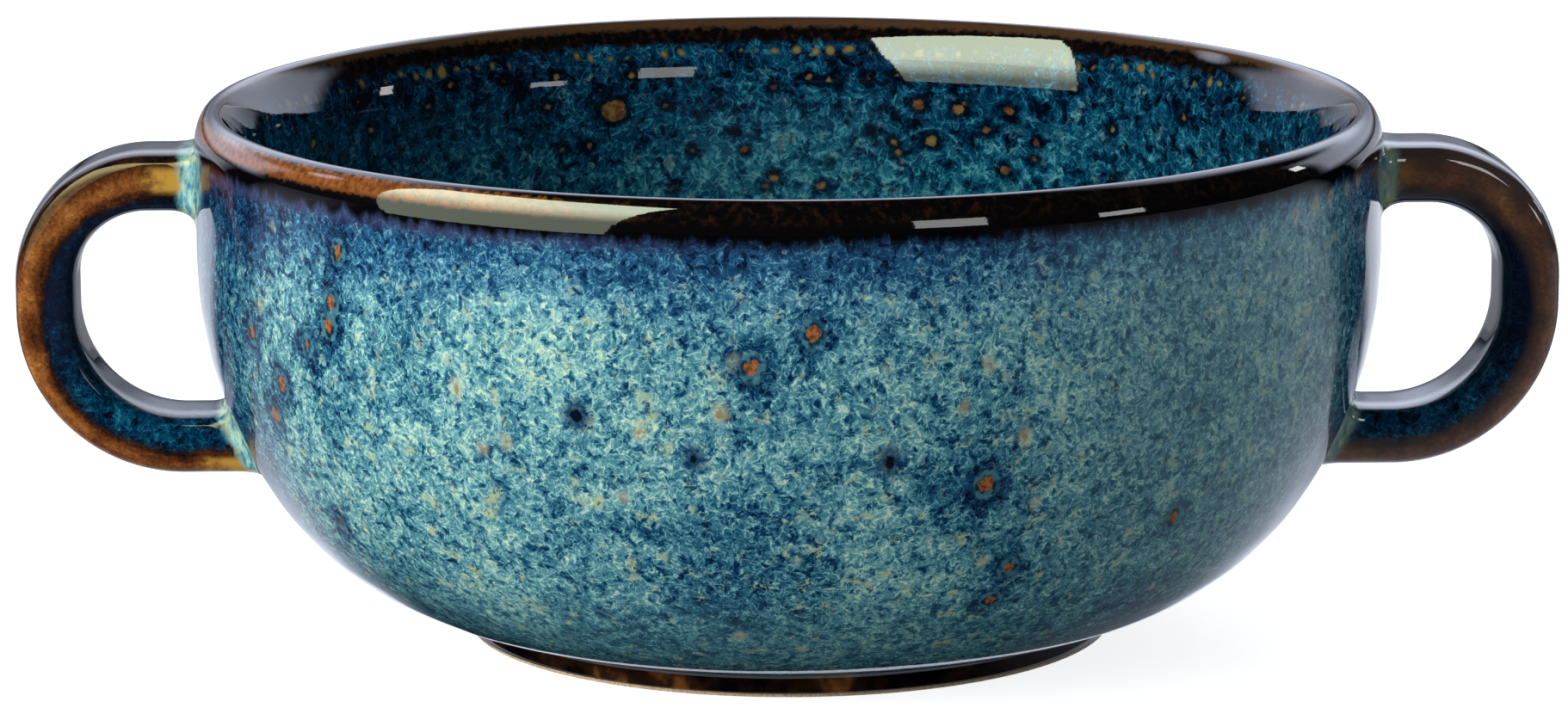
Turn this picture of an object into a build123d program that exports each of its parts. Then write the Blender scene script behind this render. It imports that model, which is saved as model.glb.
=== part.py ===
from build123d import *

import math
import os

# Two-handled soup bowl in glazed stoneware. Millimetres, +Z up, the handles stand along X.
# The origin is the middle of the foot's bottom face. The clay pieces, the slip fillets that
# lute the handles to the wall, and the glaze coats are separate solids that meet face to face.

# Bowl
BOWL_RADIUS = 70.0  # outside, at the belly and the upright wall above it
BOWL_HEIGHT = 62.9  # table to the top of the lip
BELLY_DROP = 17.1  # from the top of the lip down to where the side starts to curve in
SIDE_ARC = 52.1  # radius of the side's curve, seen in section
SIDE_SWEEP = 31.2  # degrees below the belly at which the corner curve takes over
WALL = 5.8  # wall and floor, glaze included
LIP_OUT = 2.2  # lip's outside rounding, across
LIP_FALL = 4.2  # lip's outside rounding, down
LIP_IN = 1.2  # radius of the lip's inside rounding
LIP_FLARE = 10.0  # depth over which the inside opens out to the lip
RIM_BAND = 5.0  # depth of the dark glaze from the top of the lip

# Foot ring
FOOT_RADIUS = 38.7
FOOT_WIDTH = 4.5
FOOT_HEIGHT = 2.7
FOOT_HOLLOW = 2.2  # depth of the hollow inside the ring
FOOT_FILLET = 0.9  # between the foot and the bowl's underside
DRY_EDGE = 0.5  # bare clay between the table and the glaze

# Glaze
GLAZE = 0.4

# Handles
HANDLE_REACH = 21.4  # from the belly to the outside of the handle
HANDLE_DROP = 5.1  # from the top of the lip down to the top of the handle
HANDLE_HEIGHT = 38.7  # over the outside of the strap
STRAP = 7.2  # thickness of the strap, glaze included
STRAP_WIDTH = 12.5
STRAP_ROUND = 3.2  # rounding of the strap's edges
GRIP = 3.2  # straight length between the two bends
UPPER_BEND = 12.2  # radius of the strap's middle line, the lower bend takes the rest
ROOT_RADIUS = 50.0  # where the strap's middle line starts, well inside the wall

# Slip fillets at the handle roots
FILLET_LENGTH = 3.0  # along the handle
FILLET_SPREAD = 1.3  # over the wall
FILLET_EDGE = 0.12  # how far the fillet stands over the handle's glaze
FILLET_STEPS = (1, 0.5, 0, -0.6)  # places of its sections, in lengths out from the wall

# Trimming
SKY = 100.0  # height well over the bowl


def on_circle(centre, radius, degrees):
    """Point on a circle, as radius and height."""
    angle = math.radians(degrees)
    return (centre[0] + radius * math.cos(angle), centre[1] + radius * math.sin(angle))


def corner_curve():
    """Centre and radius of the arc that runs on from the side and reaches the foot."""
    start = on_circle(SIDE_CENTRE, SIDE_ARC, -SIDE_SWEEP)
    across = FOOT_RADIUS - start[0]
    down = FOOT_HEIGHT - start[1]
    slope = math.radians(-SIDE_SWEEP)
    lean = across * math.cos(slope) + down * math.sin(slope)
    radius = -(across**2 + down**2) / (2 * lean)
    return on_circle(start, -radius, -SIDE_SWEEP), radius


def flare_curve():
    """Centre and radius of the arc that opens the inside out from the upright wall to the lip's rounding."""
    across = WALL - LIP_OUT
    down = LIP_FLARE - LIP_IN
    radius = (across**2 + down**2 - LIP_IN**2) / (2 * (across - LIP_IN))
    return (BOWL_RADIUS - WALL + radius, BOWL_HEIGHT - LIP_FLARE), radius


BELLY_HEIGHT = BOWL_HEIGHT - BELLY_DROP
SIDE_CENTRE = (BOWL_RADIUS - SIDE_ARC, BELLY_HEIGHT)
CORNER_CENTRE, CORNER_ARC = corner_curve()
FOOT_MIDDLE = FOOT_RADIUS - FOOT_WIDTH / 2
LIP_RADIUS = BOWL_RADIUS - LIP_OUT
LIP_FOOT = (LIP_RADIUS, BOWL_HEIGHT - LIP_FALL)
LIP_CENTRE = (LIP_RADIUS, BOWL_HEIGHT - LIP_IN)
FLARE_CENTRE, FLARE_ARC = flare_curve()
FLARE_END = math.degrees(math.atan2(LIP_CENTRE[1] - FLARE_CENTRE[1], LIP_CENTRE[0] - FLARE_CENTRE[0]))

HANDLE_AXIS = BOWL_RADIUS + HANDLE_REACH - STRAP / 2
UPPER_ARM = BOWL_HEIGHT - HANDLE_DROP - STRAP / 2
LOWER_ARM = UPPER_ARM + STRAP - HANDLE_HEIGHT
LOWER_BEND = UPPER_ARM - LOWER_ARM - GRIP - UPPER_BEND


def arc(centre, radius, start, end):
    """Arc between two directions in degrees."""
    return ThreePointArc(
        on_circle(centre, radius, start),
        on_circle(centre, radius, (start + end) / 2),
        on_circle(centre, radius, end),
    )


def corner_start(depth, height):
    """Direction in which the corner curve, moved in by depth, stands at a height."""
    radius = CORNER_ARC - depth
    return math.degrees(math.asin(max(-1, (height - CORNER_CENTRE[1]) / radius)))


def wall_curve(depth, start):
    """Outside of the wall moved in by depth, from a direction on the corner up to the belly."""
    return [
        arc(CORNER_CENTRE, CORNER_ARC - depth, start, -SIDE_SWEEP),
        arc(SIDE_CENTRE, SIDE_ARC - depth, -SIDE_SWEEP, 0),
    ]


def rounded(section, point, radius):
    """Section with its corner nearest a point rounded."""
    corner = section.vertices().sort_by_distance((point[0], point[1], 0))[0]
    return fillet(corner, radius)


def bowl_section(inset):
    """Half section of the bowl with every glazed surface moved in by inset."""
    foot_out = FOOT_RADIUS - inset
    foot_in = FOOT_RADIUS - FOOT_WIDTH + inset
    ceiling = FOOT_HOLLOW + inset
    outside = BOWL_RADIUS - inset
    inside = BOWL_RADIUS - WALL + inset
    foot_angle = -math.degrees(math.acos((foot_out - CORNER_CENTRE[0]) / (CORNER_ARC - inset)))
    foot_top = on_circle(CORNER_CENTRE, CORNER_ARC - inset, foot_angle)
    floor_angle = corner_start(WALL - inset, FOOT_HOLLOW + WALL - inset)
    floor_end = on_circle(CORNER_CENTRE, CORNER_ARC - WALL + inset, floor_angle)
    outline = Curve() + [
        Polyline((0, floor_end[1]), (0, ceiling), (foot_in, ceiling), (foot_in, 0), (foot_out, 0), foot_top),
        *wall_curve(inset, foot_angle),
        Line((outside, BELLY_HEIGHT), (outside, LIP_FOOT[1])),
        EllipticalCenterArc(LIP_FOOT, LIP_OUT - inset, LIP_FALL - inset, 0, arc_size=90),
        arc(LIP_CENTRE, LIP_IN - inset, 90, FLARE_END),
        arc(FLARE_CENTRE, FLARE_ARC - inset, FLARE_END, 180),
        Line((inside, FLARE_CENTRE[1]), (inside, BELLY_HEIGHT)),
        *wall_curve(WALL - inset, floor_angle),
        Line(floor_end, (0, floor_end[1])),
    ]
    return rounded(make_face(outline), foot_top, FOOT_FILLET)


def core_section(depth):
    """Everything inside the wall surface at a depth, from the axis out and open to the top."""
    start = corner_start(depth, FOOT_HOLLOW + depth)
    foot = on_circle(CORNER_CENTRE, CORNER_ARC - depth, start)
    side = BOWL_RADIUS - depth
    outline = Curve() + [
        *wall_curve(depth, start),
        Polyline((side, BELLY_HEIGHT), (side, SKY), (0, SKY), (0, foot[1]), foot),
    ]
    return make_face(outline)


def box_section(inner, outer, bottom, top):
    """Rectangle between two radii and two heights."""
    return Pos(inner, bottom) * Rectangle(outer - inner, top - bottom, align=Align.MIN)


def turned(section):
    """Solid of revolution about the bowl's axis, with its seam at the back, away from the handles."""
    return revolve(Plane.YZ * section, Axis.Z)


def bowl_coats():
    """Sections of the glaze coats of the bowl, by name."""
    coat = bowl_section(0) - bowl_section(GLAZE)
    inside = core_section(WALL / 2)
    rim = box_section(0, BOWL_RADIUS, BOWL_HEIGHT - RIM_BAND, BOWL_HEIGHT)
    bare = box_section(0, BOWL_RADIUS, 0, DRY_EDGE)
    base = box_section(0, FOOT_MIDDLE, 0, FOOT_HOLLOW + GLAZE)
    ring = box_section(FOOT_MIDDLE, FOOT_RADIUS + GLAZE, 0, FOOT_HEIGHT - FOOT_FILLET)
    return {
        "rim_glaze": coat & rim,
        "inside_glaze": (coat & inside) - rim,
        "outside_glaze": coat - inside - rim - base - ring,
        "foot_glaze": (coat & ring) - bare,
        "underside_glaze": (coat & base) - bare,
    }


def strap(inset):
    """Handle strap swept along its D-shaped middle line, with its surface moved in by inset."""
    path = FilletPolyline(
        (ROOT_RADIUS, 0, UPPER_ARM),
        (HANDLE_AXIS, 0, UPPER_ARM),
        (HANDLE_AXIS, 0, LOWER_ARM),
        (ROOT_RADIUS, 0, LOWER_ARM),
        radius=[UPPER_BEND, LOWER_BEND],
    )
    outline = RectangleRounded(STRAP_WIDTH - 2 * inset, STRAP - 2 * inset, STRAP_ROUND - inset)
    start = Plane(origin=(ROOT_RADIUS, 0, UPPER_ARM), x_dir=(0, 1, 0), z_dir=(1, 0, 0))
    return sweep(start * outline, path)


def wall_at(height):
    """Outside radius of the wall at a height, and how far its face looks up, in degrees."""
    if height >= BELLY_HEIGHT:
        return BOWL_RADIUS, 0
    tilt = math.degrees(math.asin((height - BELLY_HEIGHT) / SIDE_ARC))
    if tilt > -SIDE_SWEEP:
        return on_circle(SIDE_CENTRE, SIDE_ARC, tilt)[0], tilt
    tilt = corner_start(0, height)
    return on_circle(CORNER_CENTRE, CORNER_ARC, tilt)[0], tilt


def root_flare(height):
    """Flared block round a handle root, running from the fillet's edge into the wall."""
    radius, tilt = wall_at(height)
    lean = math.radians(tilt)
    tall = STRAP / math.cos(lean)
    sections = []
    for step in FILLET_STEPS:
        spread = FILLET_EDGE + FILLET_SPREAD * (1 - step) ** 2
        place = Plane(
            origin=(radius + step * FILLET_LENGTH, 0, height),
            x_dir=(0, 1, 0),
            z_dir=(math.cos(lean), 0, math.sin(lean)),
        )
        outline = RectangleRounded(STRAP_WIDTH + 2 * spread, tall + 2 * spread, STRAP_ROUND + spread)
        sections.append(place * outline)
    return loft(sections)


def handle_pieces():
    """Clay strap, glaze and the two slip fillets of the right handle, by name, and their flares."""
    clay_wall = turned(core_section(GLAZE))
    clay = strap(GLAZE)
    upper = root_flare(UPPER_ARM)
    lower = root_flare(LOWER_ARM)
    pieces = {
        "handle": clay - clay_wall,
        "handle_glaze": strap(0) - clay - upper - lower - clay_wall,
        "upper_joint": upper - clay_wall - clay,
        "lower_joint": lower - clay_wall - clay,
    }
    return pieces, [upper, lower]


def build():
    """Every piece of the bowl, by name."""
    right, flares = handle_pieces()
    turn = Rot(0, 0, 180)
    pieces = {"bowl_body": turned(bowl_section(GLAZE))}
    for name, section in bowl_coats().items():
        pieces[name] = turned(section)
    for name in ("outside_glaze", "rim_glaze"):
        for flare in flares:
            pieces[name] = pieces[name] - flare - turn * flare
    for name, piece in right.items():
        pieces["right_" + name] = piece
        pieces["left_" + name] = turn * piece
    return pieces


os.makedirs("parts", exist_ok=True)
for node, piece in build().items():
    export_step(piece, f"parts/{node}.step")
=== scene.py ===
import math

import bpy
import numpy as np
from mathutils import Matrix, Vector


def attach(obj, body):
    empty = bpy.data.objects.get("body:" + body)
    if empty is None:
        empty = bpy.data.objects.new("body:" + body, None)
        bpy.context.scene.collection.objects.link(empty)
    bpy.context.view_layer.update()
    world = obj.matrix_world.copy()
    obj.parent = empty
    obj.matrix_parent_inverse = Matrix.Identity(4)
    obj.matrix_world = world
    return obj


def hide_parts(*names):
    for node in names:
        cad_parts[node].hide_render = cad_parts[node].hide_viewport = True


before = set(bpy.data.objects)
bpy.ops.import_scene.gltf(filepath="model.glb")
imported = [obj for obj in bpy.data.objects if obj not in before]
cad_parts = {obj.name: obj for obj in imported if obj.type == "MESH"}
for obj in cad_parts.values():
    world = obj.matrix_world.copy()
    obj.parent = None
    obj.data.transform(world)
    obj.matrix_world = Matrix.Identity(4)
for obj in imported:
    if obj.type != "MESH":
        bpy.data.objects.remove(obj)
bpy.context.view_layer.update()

# Two-handled soup bowl in glazed stoneware. Shapes are worked out in millimetres and turned
# to metres when a mesh is made. The handles stand along X, the viewer is at -Y.
MM = 0.001

# Bowl, in millimetres
BOWL_RADIUS = 70.0  # outside, at the belly
BOWL_HEIGHT = 62.9
BELLY_DROP = 17.1  # from the lip down to where the side curves in
SIDE_ARC = 52.1  # radius of the side's curve
SIDE_SWEEP = 31.2  # degrees at which the corner's curve takes over
WALL = 5.8  # wall and floor, glaze included
LIP_OUT = 2.2  # lip's outside rounding, across
LIP_FALL = 4.2  # lip's outside rounding, down
LIP_IN = 1.2  # radius of the lip's inside rounding
LIP_FLARE = 10.0  # depth over which the inside opens out to the lip
RIM_BAND = 5.0  # depth of the rim's coat from the top of the lip
FOOT_RADIUS = 38.7
FOOT_WIDTH = 4.5
FOOT_HEIGHT = 2.7
FOOT_HOLLOW = 2.2  # depth of the hollow inside the ring
HOLLOW_CORNER = 0.6  # rounding of the glaze in the hollow
FOOT_FILLET = 0.9  # between the foot and the bowl's underside
FOOT_SPLIT = 1.8  # height at which the foot's glaze meets the outside's
DRY_EDGE = 0.5  # bare clay between the table and the glaze
GLAZE = 0.4
GLAZE_BACK = 0.38  # depth of a coat's hidden back

# Handles, in millimetres
HANDLE_REACH = 21.4  # from the belly to the outside of the handle
HANDLE_DROP = 5.1  # from the lip down to the handle's top
HANDLE_HEIGHT = 38.7  # over the outside of the strap
HANDLE_SINK = 2.0  # how far inside the wall the hidden backs of the coats start
STRAP = 7.2  # thickness of the strap, glaze included
STRAP_WIDTH = 12.5
STRAP_POWER = 4.5  # roundness of the strap's section, 2 is an ellipse
GRIP = 3.2  # straight length between the two bends
UPPER_BEND = 12.2  # radius of its middle line

# Slip fillets, in millimetres
FILLET_LENGTH = 3.3  # along the handle
FILLET_SPREAD = 1.7  # over the wall
FILLET_LEAN = 0.5  # more spread on the finger's side, less on the outside
FILLET_SINK = 0.06  # how far the fillet's edge goes under the wall's glaze

# Unevenness of the fired surface, in millimetres
RING_DEPTH = 0.05  # throwing rings
RING_PITCH = 6.5
RING_WOBBLE = 0.7  # radians by which a ring runs off its height, twice round the bowl
RING_START = 0.4
WAVE_DEPTH = 0.07  # slow waves round the bowl
WAVES = [(3, 17.0, 0.0), (5, -11.0, 1.3)]  # count round the bowl, lean down the wall and start
CALM_MIDDLE = 2.0  # radius of the floor's even middle
CALM_FADE = 10.0  # width over which the unevenness sets in outside it
CALM_FOOT = 3.0  # height over which it sets in above the foot's dry edge

# Mesh
BOWL_COLUMNS = 360
BOWL_ANGLES = np.arange(BOWL_COLUMNS) * 2 * math.pi / BOWL_COLUMNS
BOWL_STEP = 0.8
LIP_STEP = 0.2
STRAP_COLUMNS = 96
STRAP_STEP = 0.5
FILLET_ROWS = 12

BELLY_HEIGHT = BOWL_HEIGHT - BELLY_DROP
SIDE_CENTRE = (BOWL_RADIUS - SIDE_ARC, BELLY_HEIGHT)
LIP_RADIUS = BOWL_RADIUS - LIP_OUT
LIP_FOOT = (LIP_RADIUS, BOWL_HEIGHT - LIP_FALL)
LIP_CENTRE = (LIP_RADIUS, BOWL_HEIGHT - LIP_IN)
HANDLE_AXIS = BOWL_RADIUS + HANDLE_REACH - STRAP / 2
UPPER_ARM = BOWL_HEIGHT - HANDLE_DROP - STRAP / 2
LOWER_ARM = UPPER_ARM + STRAP - HANDLE_HEIGHT
LOWER_BEND = UPPER_ARM - LOWER_ARM - GRIP - UPPER_BEND


# Curves of the section

def on_circle(centre, radius, degrees):
    """Point on a circle, as radius and height."""
    angle = math.radians(degrees)
    return np.array((centre[0] + radius * math.cos(angle), centre[1] + radius * math.sin(angle)))


def corner_curve():
    """Centre and radius of the arc that runs on from the side and reaches the foot."""
    start = on_circle(SIDE_CENTRE, SIDE_ARC, -SIDE_SWEEP)
    across, down = np.array((FOOT_RADIUS, FOOT_HEIGHT)) - start
    slope = math.radians(-SIDE_SWEEP)
    lean = across * math.cos(slope) + down * math.sin(slope)
    radius = -(across**2 + down**2) / (2 * lean)
    return on_circle(start, -radius, -SIDE_SWEEP), radius


def flare_curve():
    """Centre and radius of the arc that opens the inside out from the wall to the lip's rounding."""
    across = WALL - LIP_OUT
    down = LIP_FLARE - LIP_IN
    radius = (across**2 + down**2 - LIP_IN**2) / (2 * (across - LIP_IN))
    return (BOWL_RADIUS - WALL + radius, BOWL_HEIGHT - LIP_FLARE), radius


CORNER_CENTRE, CORNER_ARC = corner_curve()
FLARE_CENTRE, FLARE_ARC = flare_curve()
FLARE_END = math.degrees(math.atan2(LIP_CENTRE[1] - FLARE_CENTRE[1], LIP_CENTRE[0] - FLARE_CENTRE[0]))


def line(start, end, step=BOWL_STEP):
    """Points of a straight run, both ends included."""
    start, end = np.array(start, float), np.array(end, float)
    count = max(1, math.ceil(np.linalg.norm(end - start) / step))
    return [start + (end - start) * i / count for i in range(count + 1)]


def arc(centre, radius, start, end, step=BOWL_STEP, tall=None):
    """Points of an arc between two directions in degrees; tall is the upright radius of an ellipse."""
    tall = radius if tall is None else tall
    count = max(2, math.ceil(abs(math.radians(end - start)) * max(radius, tall) / step))
    angles = [math.radians(start + (end - start) * i / count) for i in range(count + 1)]
    return [np.array((centre[0] + radius * math.cos(a), centre[1] + tall * math.sin(a))) for a in angles]


def joined(*runs):
    """One list of points from runs that start where the last one ends."""
    points = list(runs[0])
    for run in runs[1:]:
        points += run[1:]
    return points


def bowl_profile():
    """Section of the glazed surface by coat, from the foot over the lip to the middle of the floor."""
    fillet_r = FOOT_RADIUS + FOOT_FILLET
    reach = CORNER_ARC + FOOT_FILLET
    fillet_z = CORNER_CENTRE[1] - math.sqrt(reach**2 - (fillet_r - CORNER_CENTRE[0]) ** 2)
    fillet_centre = (fillet_r, fillet_z)
    foot_angle = math.degrees(math.atan2(fillet_z - CORNER_CENTRE[1], fillet_r - CORNER_CENTRE[0]))
    band = BOWL_HEIGHT - RIM_BAND
    inside = BOWL_RADIUS - WALL
    band_angle = 180 - math.degrees(math.asin((band - FLARE_CENTRE[1]) / FLARE_ARC))
    corner = CORNER_ARC - WALL
    floor_z = FOOT_HOLLOW + WALL
    floor_angle = math.degrees(math.asin(max(-1, (floor_z - CORNER_CENTRE[1]) / corner)))
    floor_end = on_circle(CORNER_CENTRE, corner, floor_angle)
    return {
        "foot": line((FOOT_RADIUS, DRY_EDGE), (FOOT_RADIUS, FOOT_SPLIT), LIP_STEP),
        "outside": joined(
            line((FOOT_RADIUS, FOOT_SPLIT), (FOOT_RADIUS, fillet_z), LIP_STEP),
            arc(fillet_centre, FOOT_FILLET, 180, foot_angle + 180, LIP_STEP),
            arc(CORNER_CENTRE, CORNER_ARC, foot_angle, -SIDE_SWEEP),
            arc(SIDE_CENTRE, SIDE_ARC, -SIDE_SWEEP, 0),
            line((BOWL_RADIUS, BELLY_HEIGHT), (BOWL_RADIUS, band)),
        ),
        "rim": joined(
            line((BOWL_RADIUS, band), (BOWL_RADIUS, LIP_FOOT[1]), LIP_STEP),
            arc(LIP_FOOT, LIP_OUT, 0, 90, LIP_STEP, LIP_FALL),
            arc(LIP_CENTRE, LIP_IN, 90, FLARE_END, LIP_STEP),
            arc(FLARE_CENTRE, FLARE_ARC, FLARE_END, band_angle, LIP_STEP),
        ),
        "inside": joined(
            arc(FLARE_CENTRE, FLARE_ARC, band_angle, 180),
            line((inside, FLARE_CENTRE[1]), (inside, BELLY_HEIGHT)),
            arc(SIDE_CENTRE, SIDE_ARC - WALL, 0, -SIDE_SWEEP),
            arc(CORNER_CENTRE, corner, -SIDE_SWEEP, floor_angle),
            line(floor_end, (BOWL_STEP, floor_end[1])),
        ),
    }


def wall_radius(height):
    """Outside radius of the wall at a height."""
    if height >= BELLY_HEIGHT:
        return BOWL_RADIUS
    rise = (height - BELLY_HEIGHT) / SIDE_ARC
    if rise > -math.sin(math.radians(SIDE_SWEEP)):
        return SIDE_CENTRE[0] + SIDE_ARC * math.sqrt(1 - rise**2)
    rise = (height - CORNER_CENTRE[1]) / CORNER_ARC
    return CORNER_CENTRE[0] + CORNER_ARC * math.sqrt(max(0, 1 - rise**2))


# Meshes

def closed_loft(name, rows, normals, values):
    """Closed mesh through rings of points, the last joined to the first; a ring of one point is a pole.

    Each ring has its normals, or None where the mesh finds its own, and values gives each
    ring's attributes by name.
    """
    starts = np.cumsum([0] + [len(row) for row in rows]).tolist()
    faces = []
    for i, row in enumerate(rows):
        j = (i + 1) % len(rows)
        following = rows[j]
        count = max(len(row), len(following))
        if count == 1:
            continue
        for k in range(count):
            n = (k + 1) % count
            near = [starts[i] + k % len(row), starts[i] + n % len(row)]
            far = [starts[j] + n % len(following), starts[j] + k % len(following)]
            faces.append(list(dict.fromkeys(near + far)))
    mesh = bpy.data.meshes.new(name)
    mesh.from_pydata((np.concatenate(rows) * MM).tolist(), [], faces)
    for key in values[0]:
        layer = mesh.attributes.new(key, "FLOAT", "POINT")
        stored = np.concatenate([value[key] for value in values])
        layer.data.foreach_set("value", stored.astype(np.float32))
    mesh.polygons.foreach_set("use_smooth", [True] * len(mesh.polygons))
    own = [np.zeros((len(row), 3)) if normal is None else normal for row, normal in zip(rows, normals)]
    mesh.normals_split_custom_set_from_vertices(np.concatenate(own).tolist())
    mesh.validate()
    piece = bpy.data.objects.new(name, mesh)
    bpy.context.scene.collection.objects.link(piece)
    return piece


def row_directions(grid):
    """Unit normals of a grid of rings, from the steps along and round it."""
    along = np.gradient(grid, axis=0)
    around = np.roll(grid, -1, axis=1) - np.roll(grid, 1, axis=1)
    normals = np.cross(around, along)
    return normals / np.linalg.norm(normals, axis=2, keepdims=True)


def unevenness(angle, run):
    """How far the surface lies under the true form, in millimetres, never less than nothing."""
    wobble = RING_WOBBLE * np.sin(2 * angle + RING_START)
    rings = 0.5 + 0.5 * np.sin(2 * np.pi * run / RING_PITCH + wobble)
    slow = sum(np.sin(count * angle + run / lean + start) for count, lean, start in WAVES)
    return RING_DEPTH * rings + WAVE_DEPTH * (0.5 + 0.25 * slow)


def spun(section):
    """Rings round the bowl's axis through the points of a section."""
    circle = np.stack([np.cos(BOWL_ANGLES), np.sin(BOWL_ANGLES)], axis=1)
    ring = section[:, None, :1] * circle[None]
    height = np.repeat(section[:, 1:], BOWL_COLUMNS, axis=1)[..., None]
    return np.concatenate([ring, height], axis=2)


def bowl_grid():
    """Rings of the bowl's glazed surface, their normals, backs and runs, with the first ring of each coat."""
    points = []
    first = {}
    for name, run in bowl_profile().items():
        first[name] = max(0, len(points) - 1)
        points += run if not points else run[1:]
    points = np.array(points)
    steps = np.linalg.norm(np.diff(points, axis=0), axis=1)
    length = np.concatenate([[0], np.cumsum(steps)])
    run = length[np.argmax(points[:, 1])] - length
    form = spun(points)
    normals = row_directions(form)
    dent = unevenness(BOWL_ANGLES[None], run[:, None])
    floor_fade = np.clip((points[:, 0] - CALM_MIDDLE) / CALM_FADE, 0, 1)
    foot_fade = np.clip((points[:, 1] - DRY_EDGE) / CALM_FOOT, 0, 1)
    skin = form - normals * (dent * (floor_fade * foot_fade)[:, None])[..., None]
    back = form - normals * GLAZE_BACK
    return skin, row_directions(skin), back, run, first


def coat(name, grid, start, end):
    """Closed shell of one glaze coat, from ring start to ring end of the bowl's surface."""
    skin, normals, back, run, _ = grid
    picked = range(start, end + 1)
    rows = [skin[i] for i in picked]
    turns = [normals[i] for i in picked]
    marks = [run[i] for i in picked]
    backs = [back[i] for i in reversed(picked)]
    if end == len(skin) - 1:
        rows.append(skin[end].mean(axis=0, keepdims=True))
        turns.append(np.array([[0.0, 0.0, 1.0]]))
        marks.append(run[end])
        backs.insert(0, back[end].mean(axis=0, keepdims=True))
    marks += [0.0] * len(backs)
    values = [{"run": np.full(len(row), mark)} for row, mark in zip(rows + backs, marks)]
    return closed_loft(name, rows + backs, turns + [None] * len(backs), values)


def underside_coat(name):
    """Closed disc of glaze in the hollow of the foot."""
    ring_radius = FOOT_RADIUS - FOOT_WIDTH
    flat_radius = ring_radius - HOLLOW_CORNER
    corner_z = FOOT_HOLLOW - HOLLOW_CORNER
    section = np.array(joined(
        line((ring_radius, DRY_EDGE), (ring_radius, corner_z), LIP_STEP),
        arc((flat_radius, corner_z), HOLLOW_CORNER, 0, 90, LIP_STEP),
        line((flat_radius, FOOT_HOLLOW), (BOWL_STEP, FOOT_HOLLOW)),
    ))
    shares = [(float(r > flat_radius), float(z > DRY_EDGE)) for r, z in section]
    behind = section + GLAZE_BACK * np.array(shares)
    middle = np.array([[0.0, 0.0, FOOT_HOLLOW]])
    middle_back = np.array([[0.0, 0.0, FOOT_HOLLOW + GLAZE_BACK]])
    rows = [*spun(section), middle, middle_back, *spun(behind[::-1])]
    values = [{"run": np.zeros(len(row))} for row in rows]
    return closed_loft(name, rows[::-1], [None] * len(rows), values[::-1])


def signed_power(value, power):
    """Power of a value's size, with the value's sign."""
    return np.sign(value) * np.abs(value) ** power


def strap_section(inset):
    """Points round the strap's section as width and thickness, and the direction in which each looks."""
    turn = np.arange(STRAP_COLUMNS) * 2 * math.pi / STRAP_COLUMNS
    power = 2 / STRAP_POWER
    cos, sin = np.cos(turn), np.sin(turn)
    wide, thick = STRAP_WIDTH / 2 - inset, STRAP / 2 - inset
    across = signed_power(cos, 2 - power) / wide
    through = signed_power(sin, 2 - power) / thick
    look = np.stack([across, through], 1)
    look /= np.linalg.norm(look, axis=1, keepdims=True)
    return wide * signed_power(cos, power), thick * signed_power(sin, power), look


def strap_path(start, end):
    """Middle line of the right handle from the upper to the lower arm, and its outward normals."""
    bend_top = (HANDLE_AXIS - UPPER_BEND, UPPER_ARM - UPPER_BEND)
    bend_low = (HANDLE_AXIS - LOWER_BEND, LOWER_ARM + LOWER_BEND)
    points = np.array(joined(
        line((start, UPPER_ARM), (bend_top[0], UPPER_ARM), STRAP_STEP),
        arc(bend_top, UPPER_BEND, 90, 0, STRAP_STEP),
        line((HANDLE_AXIS, bend_top[1]), (HANDLE_AXIS, bend_low[1]), STRAP_STEP),
        arc(bend_low, LOWER_BEND, 0, -90, STRAP_STEP),
        line((bend_low[0], LOWER_ARM), (end, LOWER_ARM), STRAP_STEP),
    ))
    heading = np.gradient(points, axis=0)
    heading /= np.linalg.norm(heading, axis=1, keepdims=True)
    return points, np.stack([-heading[:, 1], heading[:, 0]], 1)


def strap_rows(inset, start, end):
    """Rings of points of the strap's surface, moved in by inset."""
    width, depth, _ = strap_section(inset)
    points, outward = strap_path(start, end)
    rows = []
    for point, normal in zip(points, outward):
        rows.append(np.stack([point[0] + depth * normal[0], width, point[1] + depth * normal[1]], 1))
    return rows


def root_rows(arm, side):
    """Rings of a slip fillet from the wall to the strap; side is 1 where the strap's outside looks up."""
    width, depth, look = strap_section(0)
    height = arm + side * depth
    spread = FILLET_SPREAD * (1 - FILLET_LEAN * look[:, 1])
    seat = np.array([math.sqrt(wall_radius(z) ** 2 - y**2) for y, z in zip(width, height)])
    wide = width + spread * look[:, 0]
    tall = height + side * spread * look[:, 1]
    edge = np.array([math.sqrt((wall_radius(z) - FILLET_SINK) ** 2 - y**2) for y, z in zip(wide, tall)])
    wall = np.stack([edge, wide, tall], 1)
    corner = np.stack([seat, width, height], 1)
    tip = np.stack([seat + FILLET_LENGTH, width, height], 1)
    rows = []
    for i in range(FILLET_ROWS + 1):
        t = i / FILLET_ROWS
        rows.append((1 - t) ** 2 * wall + 2 * t * (1 - t) * corner + t**2 * tip)
    return rows


def handle_grid():
    """Rings of the right handle's upper fillet, strap and lower fillet, from wall to wall."""
    upper = root_rows(UPPER_ARM, 1)
    lower = root_rows(LOWER_ARM, -1)[::-1]
    start, end = upper[-1][:, 0].max() + STRAP_STEP, lower[0][:, 0].max() + STRAP_STEP
    return upper, strap_rows(0, start, end), lower


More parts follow.
